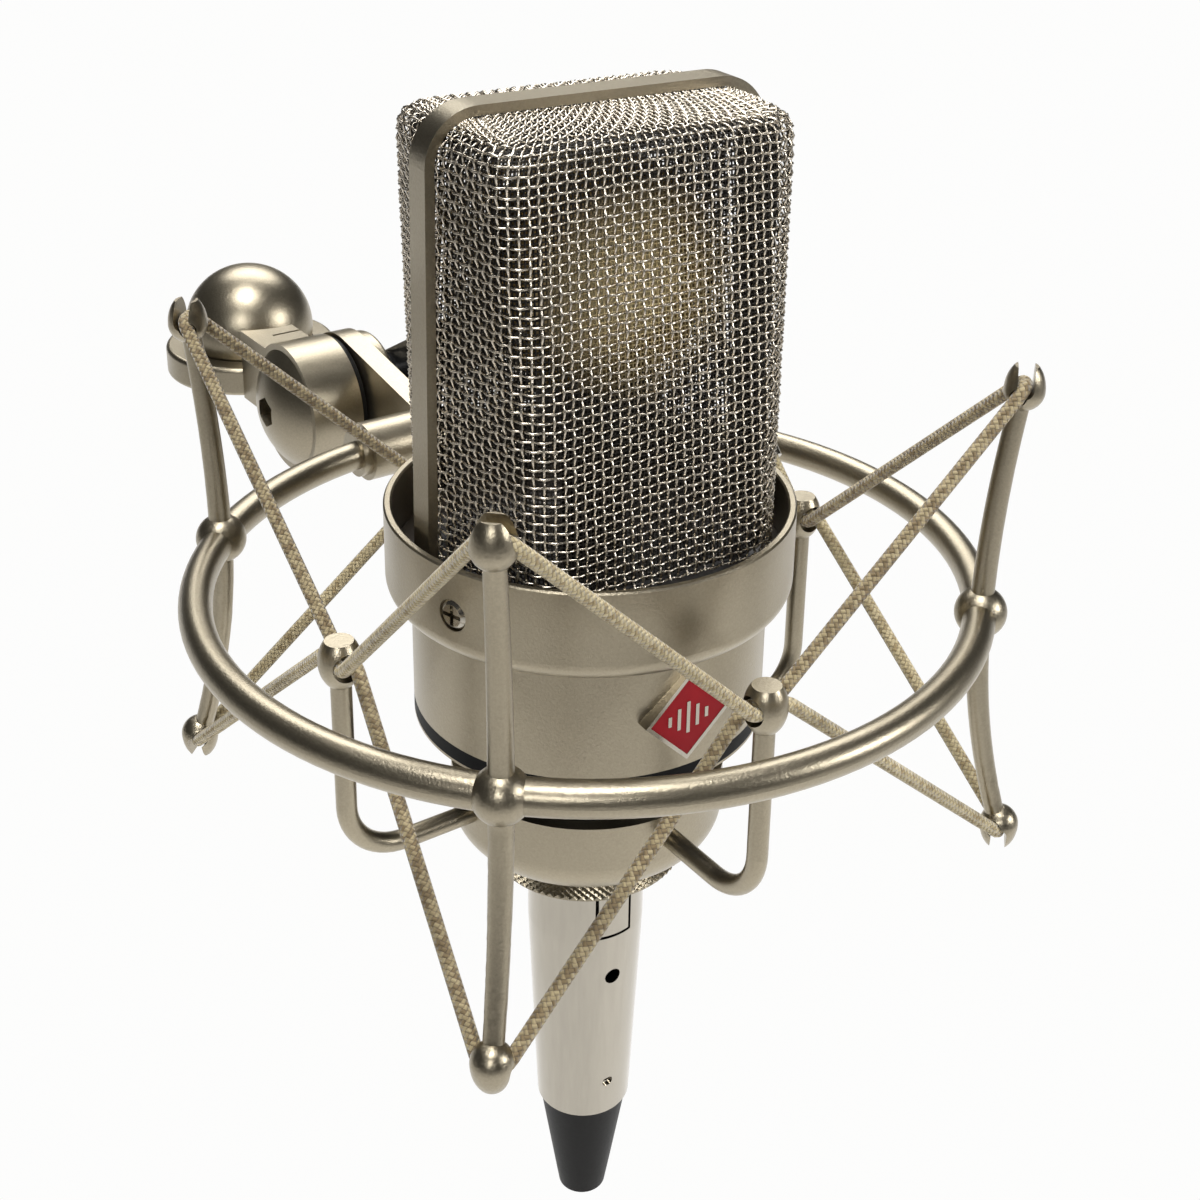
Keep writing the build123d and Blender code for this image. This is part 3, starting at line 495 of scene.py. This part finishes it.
# a grid of points over the front half: rows up the profile, columns round the level curves
def headGrid(inset, pitchRound, pitchUp, perCell):
    profile, length = headProfile(inset)
    rows = int(round(length / pitchUp)) * perCell
    _, around = levelCurve(profile[0][0], profile[0][1], inset)
    columns = int(round(around / pitchRound)) * perCell
    grid = np.zeros((rows + 1, columns + 1, 3))
    for j in range(rows + 1):
        depth, height = profile[int(round(j / rows * (len(profile) - 1)))]
        curve, _ = levelCurve(depth, height, inset)
        where = np.linspace(0, len(curve) - 1, columns + 1)
        base = np.arange(len(curve))
        grid[j, :, 0] = np.interp(where, base, curve[:, 0])
        grid[j, :, 1] = -np.interp(where, base, curve[:, 1])
        grid[j, :, 2] = height
    across = np.gradient(grid, axis=1)
    upward = np.gradient(grid, axis=0)
    out = np.cross(across, upward)
    out /= np.maximum(np.linalg.norm(out, axis=2, keepdims=True), 1e-9)
    return grid * mm, out


def weavePaths(inset, pitchRound, pitchUp, perCell):
    grid, out = headGrid(inset, pitchRound, pitchUp, perCell)
    rows, columns = grid.shape[0], grid.shape[1]
    paths = []
    for i in range(0, columns, perCell):  # wires that run up and over
        cell = i // perCell
        paths.append([(grid[j, i], out[j, i], math.cos(math.pi * (j / perCell + cell))) for j in range(rows)])
    for j in range(0, rows, perCell):  # wires that run round
        cell = j // perCell
        paths.append([(grid[j, i], out[j, i], -math.cos(math.pi * (i / perCell + cell))) for i in range(columns)])
    return paths


def makeWeaves():
    outerTree = wireTree("wovenWire", made["brightWire"])
    gauzeTree = wireTree("fineGauze", made["fineWire"])
    outer = weavePaths(0.35, head["pitchRound"], head["pitchUp"], 2)
    fine = weavePaths(head["gauzeInset"], head["gauzePitch"], head["gauzePitch"], 1)
    for label, spin in (("front", 0.0), ("rear", math.pi)):
        place = micPlace @ Matrix.Rotation(spin, 4, "Z")
        source = pathObject(label + "Paths", outer, place)
        values = {"wireRadius": head["wireRadius"] * mm, "crimp": head["crimp"] * mm, "wobble": head["wobble"] * mm,
                  "wobbleScale": head["wobbleScale"], "sides": 5, "seed": head["seed"] + spin}
        weave = bakeTree(source, outerTree, values, label + "Weave")
        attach(weave, "microphone")
        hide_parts(label + "_grille")
        source = pathObject(label + "GauzePaths", fine, place)
        values = {"wireRadius": head["gauzeRadius"] * mm, "crimp": 0.0, "wobble": 0.0, "wobbleScale": 100.0,
                  "sides": 3, "seed": 1.0}
        gauze = bakeTree(source, gauzeTree, values, label + "Gauze")
        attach(gauze, "microphone")
        if label == "front":
            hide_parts("inner_gauze")
        print(label, "weave", len(weave.data.polygons), "gauze", len(gauze.data.polygons))


makeWeaves()


# elastic loops
loops = {
    "radius": 1.0, "turn": 2.0, "sides": 14, "step": 0.7, "pickLength": 0.8,
    "upperHook": (59.9, 35.5), "lowerHook": (63.2, -36.3), "hookHalf": 1.6, "ballRadius": 41.2, "ballHeight": -1.3, "ballHalf": 2.9, "lane": 1.04,
}


def onCircle(angle, radius, height):
    a = math.radians(angle)
    return Vector((radius * math.cos(a), radius * math.sin(a), height))


def sideways(angle):
    a = math.radians(angle)
    return Vector((-math.sin(a), math.cos(a), 0))


# a line through corners, each corner turned by an arc of the given radius
def softLine(corners, radius, step):
    points = [corners[0]]
    for before, corner, after in zip(corners, corners[1:], corners[2:]):
        toBefore, toAfter = (before - corner).normalized(), (after - corner).normalized()
        turn = math.pi - toBefore.angle(toAfter)
        reach = radius * math.tan(turn / 2)
        start, end = corner + toBefore * reach, corner + toAfter * reach
        middle = (toBefore + toAfter).normalized() * (radius / math.cos(turn / 2))
        centre = corner + middle
        a, b = start - centre, end - centre
        points += [centre + a.slerp(b, t) * radius for t in np.linspace(0, 1, 7)]
    points.append(corners[-1])
    flat, _ = resample(np.array([tuple(p) for p in points]), step)
    return [Vector(p) for p in flat]


# a round tube along points, with a UV map that counts braid repeats
def braidedTube(name, line, mat, place):
    radius, sides = loops["radius"], loops["sides"]
    points, faces = [], []
    way = (line[1] - line[0]).normalized()
    side = way.orthogonal().normalized()
    along = 0.0
    lengths = []
    for k, point in enumerate(line):
        new = (line[min(k + 1, len(line) - 1)] - line[max(k - 1, 0)]).normalized()
        side = (way.rotation_difference(new) @ side).normalized()
        way = new
        up = way.cross(side)
        for s in range(sides):
            a = 2 * math.pi * s / sides
            points.append((point + (side * math.cos(a) + up * math.sin(a)) * radius) * mm)
        if k:
            along += (point - line[k - 1]).length
        lengths.append(along)
    for k in range(len(line) - 1):
        for s in range(sides):
            t = (s + 1) % sides
            faces.append((k * sides + s, k * sides + t, (k + 1) * sides + t, (k + 1) * sides + s))
    faces.append(tuple(range(sides))[::-1])
    faces.append(tuple((len(line) - 1) * sides + s for s in range(sides)))
    piece = meshObject(name, points, faces, mat, place)
    layer = piece.data.uv_layers.new(name="braid")
    corner = 0
    for k in range(len(line) - 1):
        for s in range(sides):
            low, high = lengths[k] / loops["pickLength"], lengths[k + 1] / loops["pickLength"]
            for u, v in ((s, low), (s + 1, low), (s + 1, high), (s, high)):
                layer.data[corner].uv = (u / sides, v)
                corner += 1
    return piece


def makeLoops():
    runs = []
    for label, firstSide, lane, finish, slot in (("elastic_loop_a", 1, loops["lane"], "paleBraid", "light_cord"),
                                                 ("elastic_loop_b", -1, -loops["lane"], "brownBraid", "dark_cord")):
        pieces = []
        for k in range(4):
            hookAngle = 45 + 90 * k
            side = firstSide if k % 2 == 0 else -firstSide
            seat = onCircle(hookAngle, *loops["upperHook" if side > 0 else "lowerHook"])
            for turn in (-1, 1):
                ballAngle = hookAngle + 45 * turn
                eye = onCircle(ballAngle, loops["ballRadius"] + lane, loops["ballHeight"])
                corners = [seat, seat + sideways(hookAngle) * loops["hookHalf"] * turn,
                           eye - sideways(ballAngle) * loops["ballHalf"] * turn, eye]
                line = softLine(corners, loops["turn"], loops["step"])
                piece = braidedTube(f"{label}Run{len(pieces) + 1}", line, made[finish], ringPlace)
                start, end = ringPlace @ (corners[1] * mm), ringPlace @ (corners[2] * mm)
                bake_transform(piece)
                runs.append((start, end))
                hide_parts(label)
                pieces.append(piece)
        print(label, len(pieces), "runs")
    return runs


def nearestRun(middle, runs):
    def gap(run):
        start, way = run[0], run[1] - run[0]
        share = min(1.0, max(0.0, (middle - start).dot(way) / way.length_squared))
        return (start + way * share - middle).length
    return min(runs, key=gap)


# the sleeves that close the loops, split into one piece each; the run nearest to each sleeve is found
def makeCrimps(runs):
    whole = bmesh.new()
    whole.from_mesh(nodes["cord_crimps"].data)
    bmesh.ops.remove_doubles(whole, verts=whole.verts, dist=0.001 * mm)
    left = set(whole.verts)
    count = 0
    while left:
        found, island = [left.pop()], []
        while found:
            vert = found.pop()
            island.append(vert)
            near = {edge.other_vert(vert) for edge in vert.link_edges} & left
            left -= near
            found += near
        place = {vert: k for k, vert in enumerate(island)}
        faces = [[place[vert] for vert in face.verts] for face in whole.faces if face.verts[0] in place]
        count += 1
        piece = meshObject(f"cordSleeve{count}", [vert.co for vert in island], faces,
                           made[finishOfSlot[slotOfNode["cord_crimps"]]])
        piece.data.set_sharp_from_angle(angle=math.radians(40))
        start, end = nearestRun(sum((vert.co for vert in island), Vector()) / len(island), runs)
        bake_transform(piece)
        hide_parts("cord_crimps")
    whole.free()
    print("cord sleeves", count)


makeCrimps(makeLoops())


# knurled nut
nut = {"around": 78, "rows": 3, "depth": 0.5, "rim": 0.45, "bore": 12.55}


def makeNut():
    low, high = (Vector(v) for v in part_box("knurled_nut"))
    centre = (low + high) / 2
    radius = (high.x - low.x) / 2
    bore = nut["bore"] * mm
    count, rows = nut["around"] * 2, nut["rows"] * 2
    bottom, top = low.z + nut["rim"] * mm, high.z - nut["rim"] * mm
    points, faces = [], []

    def ringOf(r, z):
        first = len(points)
        points.extend((centre.x + r * math.cos(2 * math.pi * i / count), centre.y + r * math.sin(2 * math.pi * i / count), z)
                      for i in range(count))
        return first

    def skirt(a, b):
        for i in range(count):
            j = (i + 1) % count
            faces.append((a + i, a + j, b + j, b + i))

    inner = ringOf(bore, low.z)
    foot = ringOf(radius - nut["rim"] * mm, low.z)
    skirt(inner, foot)
    previous = ringOf(radius - nut["depth"] * mm, bottom)
    skirt(foot, previous)
    for j in range(rows + 1):
        z = bottom + (top - bottom) * j / rows
        first = len(points)
        for i in range(count):
            r = radius - (nut["depth"] * mm if (i + j) % 2 else 0)
            points.append((centre.x + r * math.cos(2 * math.pi * i / count),
                           centre.y + r * math.sin(2 * math.pi * i / count), z))
        if j == 0:
            skirt(previous, first)
        else:
            for i in range(count):
                k = (i + 1) % count
                a, b, c, d = previous + i, previous + k, first + k, first + i
                if (i + j) % 2:  # split along the groove
                    faces += [(a, b, c), (a, c, d)]
                else:
                    faces += [(a, b, d), (b, c, d)]
        previous = first
    shoulder = ringOf(radius - nut["depth"] * mm, top)
    skirt(previous, shoulder)
    crown = ringOf(radius - nut["rim"] * mm, high.z)
    skirt(shoulder, crown)
    lip = ringOf(bore, high.z)
    skirt(crown, lip)
    skirt(lip, inner)
    piece = meshObject("knurledNut", points, faces, made["satinNickel"], smooth=False)
    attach(piece, "nut")
    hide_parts("knurled_nut")
    print("knurled nut", len(faces))


makeNut()


# a plain raised pattern on the badge: five upright bars of different heights
badge = {"bars": (1.6, 3.4, 5.0, 3.4, 1.6), "barWidth": 0.55, "gap": 0.95, "rise": 0.1, "inlay": 0.25}


def makeBadge():
    low, high = (Vector(v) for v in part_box("badge_inlay"))
    local = micPlace.inverted() @ ((low + high) / 2)
    front = local.y - (badge["inlay"] / 2 + badge["rise"]) * mm
    points, faces = [], []
    for k, height in enumerate(badge["bars"]):
        x = (k - 2) * (badge["barWidth"] + badge["gap"]) * mm
        w, h = badge["barWidth"] * mm / 2, height * mm / 2
        first = len(points)
        for y in (front, front + 2 * badge["rise"] * mm):
            points += [(x - w, y, local.z - h), (x + w, y, local.z - h), (x + w, y, local.z + h), (x - w, y, local.z + h)]
        faces += [tuple(first + v for v in face) for face in
                  ((0, 1, 2, 3), (7, 6, 5, 4), (0, 4, 5, 1), (1, 5, 6, 2), (2, 6, 7, 3), (3, 7, 4, 0))]
    piece = meshObject("badgeBars", points, faces, made["turnedSteel"], micPlace, smooth=False)
    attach(piece, "microphone")


makeBadge()


# floor, backdrop and light
studio = {
    "floorDrop": 0.30, "floorSize": 30.0, "floorColor": (0.95, 0.945, 0.935),
    "worldColor": (1.0, 0.99, 0.97), "worldStrength": 0.06, "toneCurve": "Standard",
    "paleColor": (0.98, 0.98, 0.975),
    "lamps": [
        {"name": "topLamp", "place": (-0.15, -0.1, 0.95), "aim": (0, 0, 0), "size": 0.5, "power": 9.0},
        {"name": "sideLamp", "place": (0.65, -0.75, 0.35), "aim": (0, 0, 0), "size": 0.35, "power": 5.5},
        {"name": "frontLamp", "place": (-0.75, -0.75, 0.6), "aim": (0, 0, 0), "size": 0.3, "power": 4.5},
        {"name": "floorLamp", "place": (1.3, 2.2, 2.2), "aim": (1.3, 2.3, -0.4), "size": 3.0, "power": 125.0},
    ],
}


# floor and surroundings look plain and pale, while the object gets only the light that they throw on it
def showPale(tree, lit, surface):
    path = addNode(tree, "ShaderNodeLightPath")
    pale = addNode(tree, "ShaderNodeEmission")
    pale.inputs["Color"].default_value = (*studio["paleColor"], 1)
    mixed = addNode(tree, "ShaderNodeMixShader")
    tree.links.new(path.outputs["Is Camera Ray"], mixed.inputs[0])
    tree.links.new(lit, mixed.inputs[1])
    tree.links.new(pale.outputs[0], mixed.inputs[2])
    tree.links.new(mixed.outputs[0], surface)


def makeStudio():
    floorZ = cadBox[0][2] - studio["floorDrop"]
    s = studio["floorSize"]
    floorMat, tree, shader = newMaterial("floorPaper", studio["floorColor"], 0.0, 0.9)
    tone = noiseOf(tree, objectCoords(tree), 1.5, 2.0)
    pale = studio["floorColor"]
    tree.links.new(rampOf(tree, tone, [(0.3, [c * 0.985 for c in pale]), (0.7, pale)]), shader.inputs["Base Color"])
    showPale(tree, shader.outputs["BSDF"], tree.nodes["Material Output"].inputs["Surface"])
    floor = meshObject("floor", [(-s, -s, floorZ), (s, -s, floorZ), (s, s, floorZ), (-s, s, floorZ)], [(0, 1, 2, 3)], floorMat)
    world = bpy.data.worlds.new("studioWorld")
    world.use_nodes = True
    world.node_tree.nodes["Background"].inputs["Color"].default_value = (*studio["worldColor"], 1)
    world.node_tree.nodes["Background"].inputs["Strength"].default_value = studio["worldStrength"]
    showPale(world.node_tree, world.node_tree.nodes["Background"].outputs[0],
             world.node_tree.nodes["World Output"].inputs["Surface"])
    bpy.context.scene.world = world
    bpy.context.scene.view_settings.view_transform = studio["toneCurve"]
    middle = ringMiddle + Vector((0, 0, 0.02))
    for lamp in studio["lamps"]:
        data = bpy.data.lights.new(lamp["name"], "AREA")
        data.shape = "DISK"
        data.size = lamp["size"]
        data.energy = lamp["power"]
        thing = bpy.data.objects.new(lamp["name"], data)
        thing.location = middle + Vector(lamp["place"])
        thing.rotation_euler = (middle + Vector(lamp["aim"]) - thing.location).to_track_quat("-Z", "Y").to_euler()
        bpy.context.scene.collection.objects.link(thing)


makeStudio()
print("studio ready")


# camera
view = {"azimuth": -36.17, "elevation": 22.73, "roll": 1.33, "distance": 261.85, "aside": 6.30, "above": 28.05,
        "focal": 1839.6, "shiftX": -0.0302, "shiftY": -0.1667}


def makeCamera():
    az, el, roll = (math.radians(view[k]) for k in ("azimuth", "elevation", "roll"))
    back = Vector((math.sin(az) * math.cos(el), -math.cos(az) * math.cos(el), math.sin(el)))
    right = Vector((math.cos(az), math.sin(az), 0))
    up = back.cross(right)
    target = right * view["aside"] + Vector((0, 0, view["above"]))
    place = ringMiddle + (target + back * view["distance"]) * mm
    turnedRight = right * math.cos(roll) + up * math.sin(roll)
    turnedUp = -right * math.sin(roll) + up * math.cos(roll)
    data = bpy.data.cameras.new("camera")
    data.sensor_width = 36.0
    data.lens = view["focal"] / 1200 * 36.0
    data.shift_x, data.shift_y = view["shiftX"], view["shiftY"]
    data.clip_start, data.clip_end = 0.01, 100.0
    camera = bpy.data.objects.new("camera", data)
    rotation = Matrix((turnedRight, turnedUp, back)).transposed().to_4x4()
    camera.matrix_world = Matrix.Translation(place) @ rotation
    bpy.context.scene.collection.objects.link(camera)
    bpy.context.scene.camera = camera


makeCamera()
